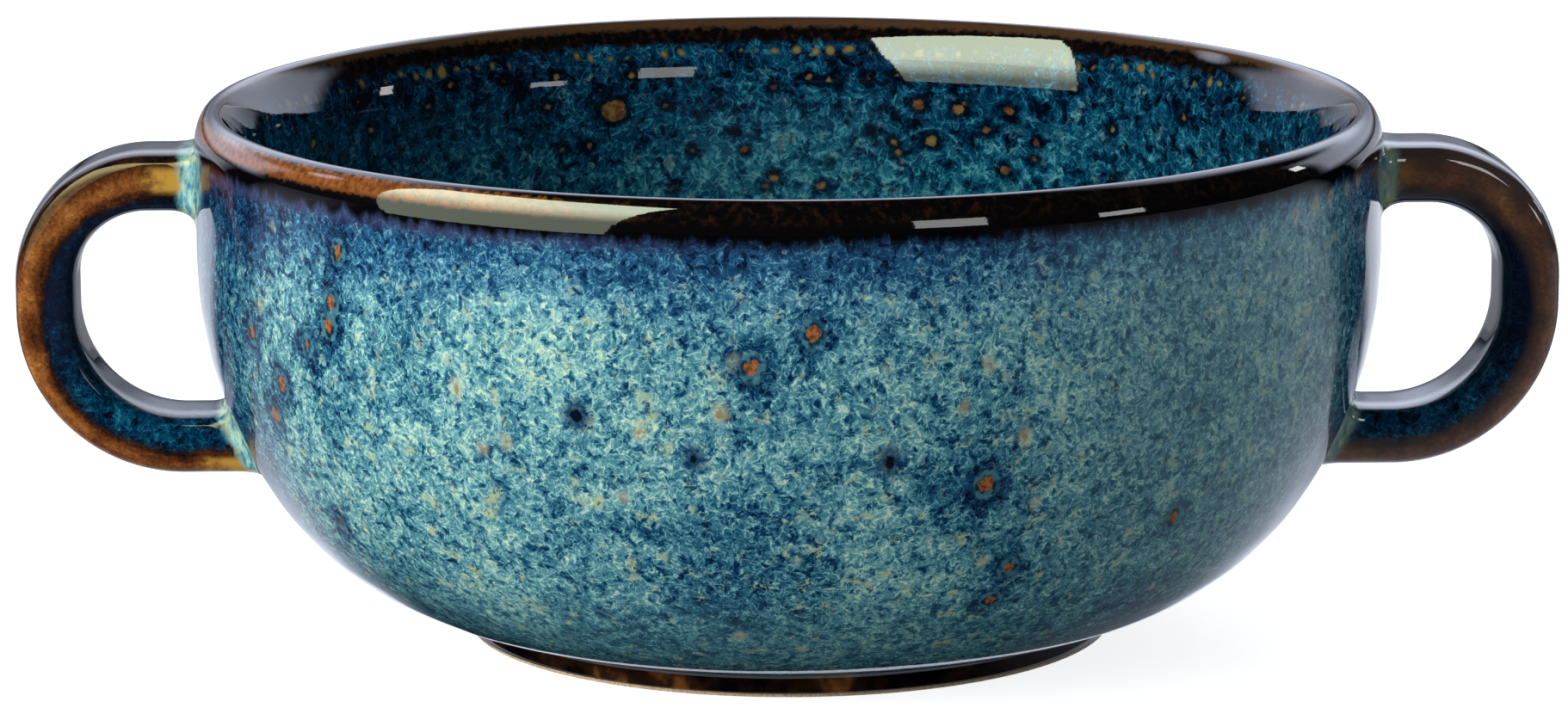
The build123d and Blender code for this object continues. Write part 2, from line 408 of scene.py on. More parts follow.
def handle_pieces(side, sign):
    """Glaze of a handle and its two slip fillets as closed shells; sign is 1 for the right one."""
    upper, strap, lower = handle_grid()
    _, depth, _ = strap_section(0)
    outer = depth / (STRAP / 2)
    turn = np.array((sign, sign, 1.0))
    grid = np.array(upper + strap + lower) * turn
    normals = row_directions(grid)
    steps = np.linalg.norm(np.diff(grid, axis=0), axis=2).mean(axis=1)
    along = np.concatenate([[0], np.cumsum(steps)])
    root = np.minimum(along, along[-1] - along)
    hidden = strap_rows(GLAZE, BOWL_RADIUS - HANDLE_SINK, wall_radius(LOWER_ARM) - HANDLE_SINK)
    hidden = np.array(hidden) * turn
    centres = hidden.mean(axis=1)
    cuts = {
        "upper_joint": (0, len(upper) - 1),
        "handle_glaze": (len(upper) - 1, len(upper) + len(strap)),
        "lower_joint": (len(upper) + len(strap), len(grid) - 1),
    }
    pieces = {}
    for name, (first, last) in cuts.items():
        picked = range(first, last + 1)
        rows = [grid[i] for i in picked]
        ends = (rows[0].mean(axis=0), rows[-1].mean(axis=0))
        near = [int(np.argmin(np.linalg.norm(centres - end, axis=1))) for end in ends]
        backs = [hidden[i] for i in range(near[1], near[0] - 1, -1)]
        if len(backs) < 2:
            backs = [hidden[near[1] + 1], hidden[near[0]]]
        values = [{"outer": outer, "root": np.full(STRAP_COLUMNS, root[i])} for i in picked]
        values += [{"outer": outer, "root": np.zeros(STRAP_COLUMNS)} for _ in backs]
        turns = [normals[i] for i in picked] + [None] * len(backs)
        pieces[name] = closed_loft(f"{side}_{name}_coat", rows + backs, turns, values)
    return pieces


# Shader nodes

MIX_COLOURS = (6, 7)  # places of a mix node's two colours among its inputs
MIX_RESULT = 2  # place of the mixed colour among its outputs


def is_socket(value):
    """Whether a value comes from a node."""
    return isinstance(value, bpy.types.NodeSocket)


def feed(socket, value):
    """Sets an input to a value, or links it to the socket of another node."""
    if is_socket(value):
        socket.id_data.links.new(value, socket)
    else:
        socket.default_value = value


def source(tree, kind):
    """Outputs of a new node without inputs."""
    return tree.nodes.new(kind).outputs


def add(kind, inputs, **settings):
    """New node in the tree of the sockets among its inputs, which are linked; the others are values."""
    tree = next(value.id_data for value in inputs.values() if is_socket(value))
    made = tree.nodes.new(kind)
    for key, value in settings.items():
        setattr(made, key, value)
    for key, value in inputs.items():
        feed(made.inputs[key], value)
    return made


def vector_math(operation, inputs, output="Vector"):
    """Result of a sum on vectors."""
    return add("ShaderNodeVectorMath", inputs, operation=operation).outputs[output]


def position(tree):
    """Position on the object in millimetres."""
    return vector_math("SCALE", {0: source(tree, "ShaderNodeTexCoord")["Object"], "Scale": 1 / MM})


def split(vector):
    """Parts X, Y and Z of a vector."""
    return add("ShaderNodeSeparateXYZ", {0: vector}).outputs


def attribute(tree, name):
    """Value stored on the mesh."""
    made = tree.nodes.new("ShaderNodeAttribute")
    made.attribute_name = name
    return made.outputs["Fac"]


def calc(operation, first, second=0.0, third=0.0):
    """Result of a sum on one to three values."""
    return add("ShaderNodeMath", {0: first, 1: second, 2: third}, operation=operation).outputs[0]


def times(first, second):
    """Product of two values."""
    return calc("MULTIPLY", first, second)


def centred(value, amount, base):
    """Noise about its middle value, times an amount, added to a base."""
    return calc("MULTIPLY_ADD", calc("SUBTRACT", value, 0.5), amount, base)


def ease(value, low, high, start=0.0, end=1.0):
    """Value eased from start to end between low and high."""
    inputs = {"Value": value, "From Min": low, "From Max": high, "To Min": start, "To Max": end}
    return add("ShaderNodeMapRange", inputs, interpolation_type="SMOOTHSTEP").outputs[0]


def lowered(level, value, low, high, amount):
    """Level less an amount that sets in as a value goes from low to high."""
    return calc("SUBTRACT", level, ease(value, low, high, 0.0, amount))


def stretch(vector, scale):
    """Vector with its axes scaled."""
    return vector_math("MULTIPLY", {0: vector, 1: scale})


def noise(vector, size, detail=2.0, rough=0.5, output="Fac"):
    """Smooth noise with features of a size in millimetres."""
    inputs = {"Vector": vector, "Scale": 1 / size, "Detail": detail, "Roughness": rough}
    return add("ShaderNodeTexNoise", inputs).outputs[output]


def cells(vector, size):
    """Voronoi cells of a size in millimetres."""
    return add("ShaderNodeTexVoronoi", {"Vector": vector, "Scale": 1 / size}).outputs


def swirl(vector, size, amount):
    """Vector pushed about by noise."""
    push = noise(vector, size, output="Color")
    middle = vector_math("SUBTRACT", {0: push, 1: (0.5,) * 3})
    return vector_math("MULTIPLY_ADD", {0: middle, 1: (amount,) * 3, 2: vector})


def ramp(value, stops):
    """Colour ramp; each stop is a place from 0 to 1 and an sRGB colour from 0 to 255."""
    made = add("ShaderNodeValToRGB", {"Fac": value})
    band = made.color_ramp
    while len(band.elements) < len(stops):
        band.elements.new(1.0)
    for element, (place, colour) in zip(band.elements, stops):
        element.position = place
        element.color = linear(colour)
    return made.outputs["Color"]


def mix(factor, first, second):
    """Colour between two colours; a colour is a socket or sRGB from 0 to 255."""
    inputs = {0: factor}
    for key, colour in zip(MIX_COLOURS, (first, second)):
        inputs[key] = colour if is_socket(colour) else linear(colour)
    return add("ShaderNodeMix", inputs, data_type="RGBA").outputs[MIX_RESULT]


def bump(height, distance):
    """Normal that shows a height, in millimetres, as relief."""
    inputs = {"Height": height, "Distance": distance * MM, "Strength": 1.0}
    return add("ShaderNodeBump", inputs).outputs["Normal"]


class Shader:
    """A new material with its node tree."""

    def __init__(self, name):
        self.material = bpy.data.materials.new(name)
        self.material.use_nodes = True
        self.tree = self.material.node_tree

    def set(self, **inputs):
        """Inputs of the surface shader, as values or as sockets to link."""
        for key, value in inputs.items():
            name = key.replace("_", " ").title().replace("Ior", "IOR")
            feed(self.tree.nodes["Principled BSDF"].inputs[name], value)


def linear(colour):
    """Linear RGBA of an sRGB colour given from 0 to 255."""
    def channel(value):
        value /= 255
        return value / 12.92 if value <= 0.04045 else ((value + 0.055) / 1.055) ** 2.4
    return (*[channel(value) for value in colour], 1.0)


# Colours, in sRGB from 0 to 255

WHITE = (255, 255, 255)
NAVY = (8, 18, 34)
DEEP_BLUE = (12, 43, 80)
DARK_INDIGO = (24, 31, 50)
TEAL = (31, 85, 111)
TURQUOISE = (80, 139, 153)
PALE = (143, 193, 186)
MINT = (205, 221, 181)
# Grey mist, to the right partly a painted sheen
HAZE_AND_SHEEN = (90, 134, 138)
YELLOW_GREEN = (172, 186, 140)
CREAM = (196, 190, 146)
BLUE_SHADE = (10, 26, 54)
BLUE_MIDDLE = (40, 90, 130)
BLUE_PALE = (122, 182, 204)
INK = (2, 8, 18)
DEEP_TEAL = (2, 36, 62)
SEA_TEAL = (12, 72, 100)
SEA_PALE = (40, 120, 138)
SEA_LIGHT = (96, 168, 172)
IRON_BLACK = (6, 5, 6)
IRON_BROWN = (44, 26, 16)
RUST = (92, 50, 24)
AMBER = (142, 88, 42)
# Greyer brown of the right handle, partly a painted grey sheen
TAN = (76, 54, 34)
TAUPE_SHEEN = (104, 90, 84)
GOLD = (190, 148, 64)
OCHRE = (156, 98, 56)
DARK_OCHRE = (100, 58, 34)
YELLOW_OCHRE = (134, 112, 62)
DIM_OLIVE = (86, 84, 54)
OLIVE = (96, 102, 70)
INDIGO = (26, 32, 66)
# Painted sheen of the veil under the rim
LAVENDER_SHEEN = (58, 60, 94)
DARK_CLAY = (150, 124, 92)
CLAY = (196, 172, 138)
PALE_CLAY = (218, 200, 170)
WARM_MIRROR = (255, 224, 184)  # tint of what mirrors in the left handle

# Ramps from dark to light
REACTIVE = [(0.0, NAVY), (0.2, DEEP_BLUE), (0.4, TEAL), (0.6, TURQUOISE), (0.8, PALE), (1.0, MINT)]
REACTIVE_BLUE = [(0.0, BLUE_SHADE), (0.4, BLUE_MIDDLE), (0.8, BLUE_PALE), (1.0, MINT)]
REACTIVE_DEEP = [(0.0, INK), (0.25, DEEP_TEAL), (0.5, SEA_TEAL), (0.75, SEA_PALE), (1.0, SEA_LIGHT)]
FOOT_IRON = [(0.35, IRON_BLACK), (0.55, IRON_BROWN), (0.75, AMBER)]
HANDLE_RUST = [(0.0, IRON_BLACK), (0.25, IRON_BROWN), (0.5, RUST), (0.75, AMBER), (1.0, GOLD)]
POOLED_PALE = [(0.3, TEAL), (0.44, TURQUOISE), (0.58, PALE), (0.72, MINT)]
CLAY_GRAIN = [(0.3, DARK_CLAY), (0.5, CLAY), (0.7, PALE_CLAY)]

# Mottling: sizes of its features in millimetres
CURLS = [(2.4, 1.8), (0.9, 0.8)]  # size of the pushes that curl it and how far they go
GRAIN = 0.8
BLOTCH = 3.2
GAP = 1.3
THREADS = [(1.15, 0.05, 0.24), (0.7, 0.06, 0.16)]  # size, share of the noise's range, lightness
WARM_BLOTCH = 2.2
OUTSIDE_PATCH = 17.0
INSIDE_PATCH = 14.0

# Where the outside changes, from the first value to the second: heights in millimetres
UNDER_RIM = (58.0, 48.0)  # from dark to light
ABOVE_FOOT = (22.0, 4.0)  # darker again
PURE_BLUE = (46.0, 57.0)
GREENER = (45.0, 20.0)
CALM_LOW = (20.0, 10.0)
FOOT_LINE = (3.6, 3.0)  # turquoise over the foot's brown
FOOT_EDGE = (2.9, 2.5)
# The same, but distances to the right or the back, in millimetres
# Misty wall to the right, partly a painted grey sheen
SHEEN_TO_RIGHT = (15.0, 45.0)
SHEEN_RIGHT_STOP = (66.0, 58.0)
BACK_ONLY = (14.0, 2.0)
# The same, but shares of the way to a handle, over which shade is painted beside the handles
SHADE_BESIDE_HANDLES = (0.83, 0.97)
# The same, but lengths from the top of the lip down the outside, less than nothing down the inside
# Depth of the veil under the rim, partly a painted sheen
SHEEN_EDGE = (7.5, 5.5)
RIM_EDGE = (6.4, 4.8)
RIM_EDGE_INSIDE = (-4.6, -3.4)

# Where the inside gets lighter: depths under the lip, in millimetres
INSIDE_DEPTH = (4.0, 24.0)

# The rim's glaze breaks to the left and front, where the veil under it also pales most to a painted sheen
BREAK_AND_SHEEN_SIDE = (-0.85, -0.53, 0.0)
PALE_SHEEN_SIDE = (0.5, 0.95)
AMBER_SIDE = (0.84, 0.94)
# Sizes of features on the rim and the foot, in millimetres
RIM_STREAK = 1.6
RIM_BLOTCH = 2.0
RIM_FLECK = 0.9
RIM_PATCH = 16.0
FOOT_PATCH = 5.0

# Handles: from the left one across to the right one, heights and sizes of features, in millimetres
ACROSS = (-10.0, 10.0)
HANDLE_TOP = (36.0, 54.0)
HANDLE_LOW = (38.0, 26.0)
HANDLE_DARK = (26.0, 40.0)
HANDLE_STREAK = 1.6
HANDLE_FLECK = 0.45
HANDLE_BLOTCH = 3.6
GOLD_BLOTCH = 2.4
POOL_STREAK = 0.8
POOL_BLOTCH = 2.0

# Surfaces: sizes and depths of relief in millimetres, the rest as the shader takes it
GLOSS = 0.5
GLOSS_INSIDE = 0.42
GLOSS_HANDLES = (0.3, 0.75)  # left and right
GLAZE_ROUGHNESS = 0.03
RIPPLE = 2.6
RIPPLE_DEPTH = 0.01
SAND = 0.35
SAND_DEPTH = 0.05
CLAY_ROUGHNESS = 0.85

# Spots, in millimetres
ROW_DOTS = 170  # small spots in the row inside, under the lip
ROW_DEPTH = 5.2
ROW_SIZE = 0.32
ROW_SHAKE = 3.4
SPOT_TALL = 0.75  # squeezes heights, so that round spots outside come out taller than wide
SPOT_FLAT = 1.2  # stretches heights, so that round spots inside come out wider than tall
SPOT_CURLS = [(0.5, 0.5), (1.6, 1.0)]  # pushes that make their edges uneven
PATCH_EDGE = (5.0, -2.0)  # how softly a patch sets in
FAR = 4.0  # spacings by which a scattered spot that is left out is moved away
# Scattered spots: half width, spacing and share of the places that have one
BACK_SPOTS = (0.65, 9.0, 0.4)
PALE_SPECKS = (0.28, 6.5, 0.4)
DEEP_SPOTS = (0.5, 4.4, 0.55)

# Iron spots on the outside: degrees from the front towards the right handle, height, half width
OUTSIDE_SPOTS = [
    (0.6, 48.6, 0.7), (-4.8, 44.8, 0.7), (16.9, 30.6, 0.75), (39.9, 23.3, 0.65), (20.9, 19.9, 0.6),
    (20.0, 15.8, 0.5), (-46.9, 53.7, 0.55), (-48.0, 47.9, 0.6), (-48.5, 45.2, 0.6), (-57.2, 36.7, 0.7),
    (-60.1, 32.5, 0.75), (-61.9, 41.9, 0.55), (-51.8, 42.3, 0.35), (-55.1, 20.5, 0.35),
]
# Lighter spots in cream blotches on the outside, in the same terms
PALE_SPOTS = [
    (-7.7, 39.7, 0.5), (-28.2, 34.9, 0.35), (-15.0, 37.3, 0.4), (16.5, 44.5, 0.35), (20.2, 36.0, 0.45),
    (-33.0, 40.5, 0.5), (56.2, 56.8, 0.35), (59.3, 57.0, 0.35), (63.2, 57.3, 0.3), (66.7, 57.5, 0.3),
    (52.5, 56.2, 0.3),
]
# Darker patches on the outside, in the same terms
DARK_PATCHES = [
    (-5.0, 20.0, 8.0), (-4.0, 44.0, 3.0), (16.0, 31.0, 6.0), (-38.0, 45.0, 3.0),
    (-49.0, 39.0, 3.0), (-62.0, 52.0, 3.0), (42.0, 12.0, 4.0),
]
# Lighter patches on the outside, in the same terms
LIGHT_PATCHES = [(-24.0, 48.5, 4.0), (-34.0, 12.5, 4.0)]
# Painted shade round the joints of the handles, in the same terms
JOINT_SHADE_HALOS = [(side * 90.0, arm, 8.0) for side in (-1, 1) for arm in (UPPER_ARM, LOWER_ARM)]
# Dark pinholes on the outside, in the same terms
OUTSIDE_PITS = [(-20.9, 38.7, 0.6), (7.6, 34.0, 0.6), (-10.2, 34.4, 0.35)]
# Iron spots on the inside, in the same terms
INSIDE_SPOTS = [
    (-161.1, 51.8, 1.7), (163.5, 52.2, 0.8), (158.7, 51.8, 0.8), (152.6, 52.1, 0.7), (161.9, 47.5, 0.8),
    (176.3, 55.5, 0.5), (173.9, 55.1, 0.5), (166.0, 55.9, 0.5), (155.2, 49.4, 0.6), (149.0, 48.2, 0.5),
    (149.3, 46.0, 0.5), (153.0, 44.3, 0.6), (165.9, 45.8, 0.6), (-176.4, 46.0, 0.5), (-179.8, 42.3, 0.6),
    (174.7, 41.3, 0.6), (-147.4, 56.9, 0.5), (-136.7, 54.7, 0.5), (-125.7, 56.8, 0.4), (-152.9, 52.9, 0.4),
]
# Patches of the outside, with the lightness that each list takes away; the last list is painted shade
PATCHES = [(DARK_PATCHES, 0.15), (LIGHT_PATCHES, -0.14), (JOINT_SHADE_HALOS, 0.2)]


# Parts of the glazes

def curled(place, pushes, scale=1.0):
    """Place pushed about by noise, once for each size and amount."""
    for size, amount in pushes:
        place = swirl(place, size * scale, amount * scale)
    return place


def ridge(place, size, width):
    """Thin lines where a noise passes its middle value, from 0 off them to 1 on them."""
    value = noise(place, size, 1.0)
    off = calc("ABSOLUTE", calc("SUBTRACT", value, 0.5))
    return ease(off, 0.0, width, 1.0, 0.0)


def mottle(place, level, scale=1.0, contrast=1.0):
    """Lightness of pale curled threads and dark gaps about a mean level; scale enlarges them."""
    pushed = curled(place, CURLS, scale)
    grain = noise(pushed, GRAIN * scale, 4.0, 0.65)
    blotch = noise(place, BLOTCH * scale, 3.0, 0.6)
    gap = noise(pushed, GAP * scale, 2.0, 0.6)
    level = centred(grain, 0.7 * contrast, level)
    level = centred(blotch, 0.6 * contrast, level)
    level = lowered(level, gap, 0.5, 0.34, 0.28 * contrast)
    for size, width, lightness in THREADS:
        thread = ridge(pushed, size * scale, width)
        level = calc("MULTIPLY_ADD", thread, lightness * contrast, level)
    return level


def warmed(place, colour, level, amount):
    """Colour with yellow green blotches where it is light."""
    blotch = noise(place, WARM_BLOTCH, 3.0, 0.6)
    warm = times(ease(blotch, 0.56, 0.72, 0.0, amount), ease(level, 0.3, 0.6))
    return mix(warm, colour, YELLOW_GREEN)


def leftward(place, low, high, start=0.0, end=1.0):
    """Value eased by how far a place lies to the left and front, from -1 to 1."""
    along = vector_math("DOT_PRODUCT", {0: place, 1: BREAK_AND_SHEEN_SIDE}, "Value")
    return ease(along, low * BOWL_RADIUS, high * BOWL_RADIUS, start, end)


def scattered_spots(place, size, spacing, share):
    """Distance in millimetres outside the nearest of some scattered spots, negative within it."""
    cell = cells(place, spacing)
    chance = add("ShaderNodeSeparateColor", {0: cell["Color"]}).outputs[0]
    left_out = calc("LESS_THAN", chance, 1 - share)
    distance = calc("MULTIPLY_ADD", cell["Distance"], spacing, -size)
    return calc("MULTIPLY_ADD", left_out, FAR * spacing, distance)


def placed_spots(place, found, depth=0.0, squeeze=SPOT_TALL):
    """Distance outside the nearest of the spots with known places, negative within it."""
    nearest = None
    for degrees, height, width in found:
        angle = math.radians(degrees)
        radius = wall_radius(height) - depth
        centre = (radius * math.sin(angle), -radius * math.cos(angle), height * squeeze)
        gap = vector_math("DISTANCE", {0: place, 1: centre}, "Value")
        gap = calc("SUBTRACT", gap, width)
        nearest = gap if nearest is None else calc("MINIMUM", nearest, gap)
    return nearest


def dot_row(place, depth):
    """Distance outside the nearest dot of an uneven row round the bowl, at a depth under the lip."""
    axes = split(place)
    shake = noise(place, ROW_SHAKE, 0.0, output="Color")
    shake = add("ShaderNodeSeparateColor", {0: shake}).outputs
    turn = times(calc("ARCTAN2", axes["Y"], axes["X"]), ROW_DOTS / (2 * math.pi))
    along = calc("FRACT", centred(shake[0], 0.8, turn))
    along = calc("SUBTRACT", along, 0.5)
    along = times(along, 2 * math.pi * (BOWL_RADIUS - WALL) / ROW_DOTS)
    down = calc("SUBTRACT", centred(shake[1], 2.0, depth), ROW_DEPTH)
    square = calc("MULTIPLY_ADD", down, down, times(along, along))
    size = centred(shake[2], 1.2, ROW_SIZE)
    return calc("SUBTRACT", calc("SQRT", square), size)


def ragged(place, squeeze=SPOT_TALL):
    """Place pushed about finely and squeezed upwards, in which round spots have uneven edges."""
    return stretch(curled(place, SPOT_CURLS), (1, 1, squeeze))


def spotted(colour, place, distance):
    """Colour with ochre iron spots, each in a broken dark edge and a broken turquoise ring."""
    fleck = noise(place, 0.5, 2.0, 0.6)
    core = mix(ease(fleck, 0.35, 0.6), DARK_OCHRE, OCHRE)
    broken = ease(noise(place, 1.1, 1.0), 0.4, 0.58)
    ring = times(ease(distance, 0.9, 0.6), ease(broken, 0.0, 1.0, 0.2, 0.6))
    dark = times(ease(distance, 0.55, 0.25), ease(broken, 1.0, 0.0, 0.15, 0.75))
    colour = mix(ring, colour, TURQUOISE)
    colour = mix(dark, colour, NAVY)
    return mix(ease(distance, 0.08, -0.1), colour, core)


def pitted(colour, distance):
    """Colour with dark pinholes in blue halos."""
    colour = mix(ease(distance, 1.6, 0.2, 0.0, 0.8), colour, DEEP_BLUE)
    return mix(ease(distance, 0.15, -0.15), colour, NAVY)


def specked(colour, place):
    """Colour with small yellow ochre spots in cream blotches."""
    distance = scattered_spots(place, *PALE_SPECKS)
    distance = calc("MINIMUM", distance, placed_spots(place, PALE_SPOTS))
    colour = mix(ease(distance, 0.9, 0.0, 0.0, 0.45), colour, CREAM)
    return mix(ease(distance, 0.1, -0.25, 0.0, 0.75), colour, YELLOW_OCHRE)


def outside_iron(uneven, axes):
    """Distance outside the nearest iron spot of the outside, known in front and scattered on the back."""
    back = scattered_spots(uneven, *BACK_SPOTS)
    back = calc("ADD", back, ease(axes["Y"], *BACK_ONLY, 0.0, 20.0))
    return calc("MINIMUM", placed_spots(uneven, OUTSIDE_SPOTS), back)


def outside_level(place, uneven, axes, iron):
    """Lightness of the outside: dark under the rim, above the foot and by the spots, with painted shade by
    the handles.
    """
    patch = noise(stretch(place, (1, 1, 0.8)), OUTSIDE_PATCH, 2.0)
    under = calc("ADD", axes["Z"], leftward(place, -1.0, 1.0, -7.0, 0.5))
    level = ease(under, *UNDER_RIM, 0.26, 0.57)
    level = lowered(level, axes["Z"], *ABOVE_FOOT, 0.17)
    level = lowered(level, iron, 2.8, 0.4, 0.32)
    for places, amount in PATCHES:
        level = lowered(level, placed_spots(uneven, places), *PATCH_EDGE, amount)
    # Painted shade: the wall darkens towards each handle.
    bearing = vector_math("NORMALIZE", {0: stretch(place, (1, 1, 0))})
    bearing = calc("ABSOLUTE", split(bearing)["X"])
    bearing = centred(patch, 0.15, bearing)
    level = lowered(level, bearing, *SHADE_BESIDE_HANDLES, 0.27)
    return mottle(place, centred(patch, 0.3, level), 0.88)


def outside_tint(place, axes, level):
    """Blue of a lightness, purer above, greener below, and calmer to the right and near the foot; to the
    right the grey mist is partly a painted sheen.
    """
    purity = ease(axes["Z"], *PURE_BLUE, 0.0, 0.6)
    blue = mix(purity, ramp(level, REACTIVE), ramp(level, REACTIVE_BLUE))
    blue = warmed(place, blue, level, ease(axes["Z"], *GREENER, 0.55, 0.95))
    # Partly painted sheen: a grey mist over the wall to the right.
    calm_and_sheen = ease(axes["X"], *SHEEN_TO_RIGHT, 0.0, 0.3)
    calm_and_sheen = times(calm_and_sheen, ease(axes["X"], *SHEEN_RIGHT_STOP))
    calm_and_sheen = calc("MAXIMUM", calm_and_sheen, ease(axes["Z"], *CALM_LOW, 0.0, 0.25))
    return mix(calm_and_sheen, blue, HAZE_AND_SHEEN)


def outside_blue(place, run):
    """Blue of the outside wall, with an indigo veil under the rim that pales to a painted lavender sheen to
    the left and front, spots and pinholes.
    """
    axes = split(place)
    uneven = ragged(place)
    iron = outside_iron(uneven, axes)
    level = outside_level(place, uneven, axes, iron)
    blue = outside_tint(place, axes, level)
    # Painted sheen: the veil under the rim pales to lavender towards the lit left and front.
    veil = mix(leftward(place, *PALE_SHEEN_SIDE), INDIGO, LAVENDER_SHEEN)
    depth = leftward(place, *PALE_SHEEN_SIDE, 0.35, 0.75)
    blue = mix(times(depth, ease(run, *SHEEN_EDGE)), blue, veil)
    blue = specked(blue, uneven)
    blue = pitted(blue, placed_spots(uneven, OUTSIDE_PITS))
    return spotted(blue, place, iron)


def inside_blue(place, run):
    """Deep blue of the inside, lighter towards the floor and with painted shade to the left, with its many
    spots and the row under the rim.
    """
    depth = times(run, -1.0)
    patch = noise(place, INSIDE_PATCH, 2.0)
    uneven = ragged(place, SPOT_FLAT)
    rest = scattered_spots(uneven, *DEEP_SPOTS)
    known = placed_spots(uneven, INSIDE_SPOTS, WALL, SPOT_FLAT)
    nearest = calc("MINIMUM", known, rest)
    level = ease(depth, *INSIDE_DEPTH, 0.25, 0.58)
    level = lowered(level, nearest, 1.6, 0.3, 0.25)
    # Painted shade: the inside darkens towards the left, away from the key light.
    level = lowered(level, split(place)["X"], -15.0, -60.0, 0.13)
    level = mottle(place, centred(patch, 0.4, level), 1.3, 1.25)
    blue = warmed(place, ramp(level, REACTIVE_DEEP), level, 0.2)
    blue = mix(ease(nearest, 1.1, 0.2, 0.0, 0.75), blue, INK)
    fleck = noise(place, 1.3, 2.0, 0.6)
    core = mix(ease(fleck, 0.36, 0.64), DARK_OCHRE, YELLOW_OCHRE)
    blue = mix(ease(nearest, 0.12, -0.3), blue, core)
    row = dot_row(place, depth)
    dot = mix(ease(row, -0.05, -0.3), DIM_OLIVE, YELLOW_OCHRE)
    return mix(ease(row, 0.2, -0.1, 0.0, 0.9), blue, dot)


def rim_iron(place, run):
    """Iron glaze of the rim, black with amber where it breaks over the lip and tan inside the lip."""
    patch = noise(place, RIM_PATCH, 2.0, 0.5)
    fleck = noise(place, RIM_FLECK, 3.0, 0.6)
    where = centred(patch, 0.3, leftward(place, 0.0, 1.0))
    bend = centred(fleck, 1.6, run)
    over = times(ease(bend, 0.9, 1.3), ease(bend, 3.5, 2.9))
    amber = times(over, ease(where, *AMBER_SIDE))
    rust = mix(ease(fleck, 0.3, 0.7), RUST, AMBER)
    thin = times(ease(fleck, 0.45, 0.8), ease(run, 4.0, 3.0))
    black = mix(thin, IRON_BLACK, IRON_BROWN)
    within = times(ease(bend, -0.2, -0.7), ease(bend, -2.3, -1.5))
    black = mix(within, black, TAN)
    return mix(amber, black, rust)


def rim_share_outside(place, run):
    """Share of the rim's glaze on the outside, which runs down in streaks."""
    streak = noise(stretch(place, (1, 1, 0.22)), RIM_STREAK, 3.0, 0.6)
    return ease(centred(streak, 3.2, run), *RIM_EDGE)


def rim_share_inside(place, run):
    """Share of the rim's glaze on the inside, with a blotched edge."""
    blotch = noise(place, RIM_BLOTCH, 3.0, 0.6)
    return ease(centred(blotch, 2.4, run), *RIM_EDGE_INSIDE)


def handle_blue(place, axes):
    """Nearly black blue of a handle, with teal flecks on the lower arm."""
    level = ease(axes["Z"], *HANDLE_LOW, 0.08, 0.3)
    blue = ramp(mottle(place, level), REACTIVE_DEEP)
    return mix(ease(axes["Z"], *HANDLE_DARK, 0.0, 0.6), blue, DARK_INDIGO)


def handle_rust(place, outer, side, streak):
    """Rust brown of a handle, dark at its edges and streaked along the strap."""
    fleck = noise(place, HANDLE_FLECK, 3.0, 0.7)
    blotch = noise(place, HANDLE_BLOTCH, 2.0, 0.6)
    tone = ease(side, -0.1, 0.55, 0.05, 0.61)
    tone = centred(blotch, 0.7, tone)
    tone = lowered(tone, side, 0.7, 1.5, 0.48)
    tone = lowered(tone, outer, 0.85, 1.0, 0.2)
    tone = centred(streak, 0.6, tone)
    tone = centred(fleck, 0.7, tone)
    return ramp(tone, HANDLE_RUST)


def handle_gold(place, axes, root, side):
    """Share of gold on the outside of a handle near its joints, hardly any on the right."""
    near = centred(noise(place, GOLD_BLOTCH, 3.0, 0.6), 9.0, root)
    gold = times(ease(near, 7.5, 4.5), ease(side, 0.2, 0.5))
    gold = times(gold, ease(side, 1.3, 0.95))
    return times(gold, ease(axes["X"], *ACROSS, 0.9, 0.1))


def pooled(colour, place, axes, root):
    """Colour with pale glaze, thick and streaked, in the joint of a handle, duller on the right."""
    streak = noise(stretch(place, (1, 1, 0.35)), POOL_STREAK, 3.0, 0.6)
    blotch = noise(place, POOL_BLOTCH, 2.0, 0.6)
    pale = ramp(streak, POOLED_PALE)
    pale = mix(ease(blotch, 0.42, 0.62, 0.0, 0.7), pale, YELLOW_GREEN)
    pale = mix(ease(axes["X"], *ACROSS, 0.0, 0.6), pale, OLIVE)
    edge = centred(streak, 2.0, centred(blotch, 2.0, root))
    colour = mix(ease(edge, 3.3, 2.2), colour, pale)
    return mix(ease(edge, 1.0, 0.0, 0.0, 0.8), colour, TEAL)


# Glazes

def finish_glaze(glaze, colour, place, gloss=GLOSS, tint=None):
    """Glossy glass coat over a colour, its surface hardly uneven."""
    ripple = noise(place, RIPPLE, 3.0, 0.55)
    glaze.set(base_color=colour, normal=bump(ripple, RIPPLE_DEPTH))
    glaze.set(roughness=GLAZE_ROUGHNESS, specular_ior_level=gloss)
    if tint is not None:
        glaze.set(specular_tint=tint)
    return glaze.material


def outside_glaze(name):
    """Glaze of the outside, which runs from the black rim through blue to the brown foot."""
    glaze = Shader(name)
    place = position(glaze.tree)
    run = attribute(glaze.tree, "run")
    height = split(place)["Z"]
    colour = outside_blue(place, run)
    iron = rim_iron(place, run)
    colour = mix(rim_share_outside(place, run), colour, iron)
    colour = mix(ease(height, *FOOT_LINE, 0.0, 0.7), colour, TURQUOISE)
    brown = ramp(noise(place, FOOT_PATCH, 3.0, 0.6), FOOT_IRON)
    colour = mix(ease(height, *FOOT_EDGE), colour, brown)
    return finish_glaze(glaze, colour, place)


def inside_glaze(name):
    """Deep blue glaze of the inside and of the foot's hollow, under the rim's brown edge."""
    glaze = Shader(name)
    place = position(glaze.tree)
    run = attribute(glaze.tree, "run")
    colour = inside_blue(place, run)
    iron = rim_iron(place, run)
    colour = mix(rim_share_inside(place, run), colour, iron)
    return finish_glaze(glaze, colour, place, GLOSS_INSIDE)


